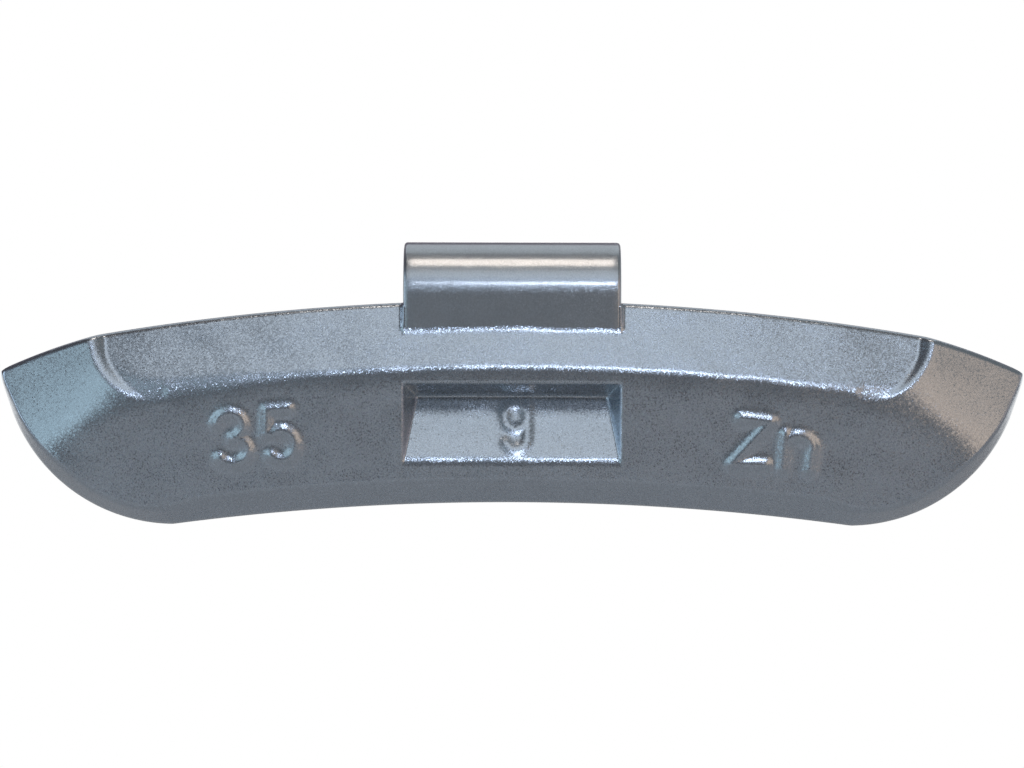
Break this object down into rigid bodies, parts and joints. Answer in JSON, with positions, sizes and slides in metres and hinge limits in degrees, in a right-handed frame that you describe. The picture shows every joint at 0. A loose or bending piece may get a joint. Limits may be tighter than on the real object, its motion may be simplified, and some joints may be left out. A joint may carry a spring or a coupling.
{
  "type": "wheel balance weight",
  "caption": "Curved zinc balance weight with a bevelled front, a shallow pocket and a spring steel clip that hooks over a wheel rim's flange edge.",
  "frame": {"origin": "on the axis of the clip's bend at the middle of its width; the axis lies in the plane of the body's rear face", "axes": "+X along the rim, tip to tip; -Y out of the front face, away from the wheel; +Z from the hub towards the flange edge"},
  "size_m": [0.076, 0.0093, 0.0211],
  "materials": {
    "body_coating": "silver-grey metallic powder coat over cast zinc, satin",
    "clip_coating": "the same silver-grey metallic coat over spring steel, satin"
  },
  "bodies": {
    "root": {"balance_body": "body_coating", "rim_clip": "clip_coating"}
  },
  "joints": []
}
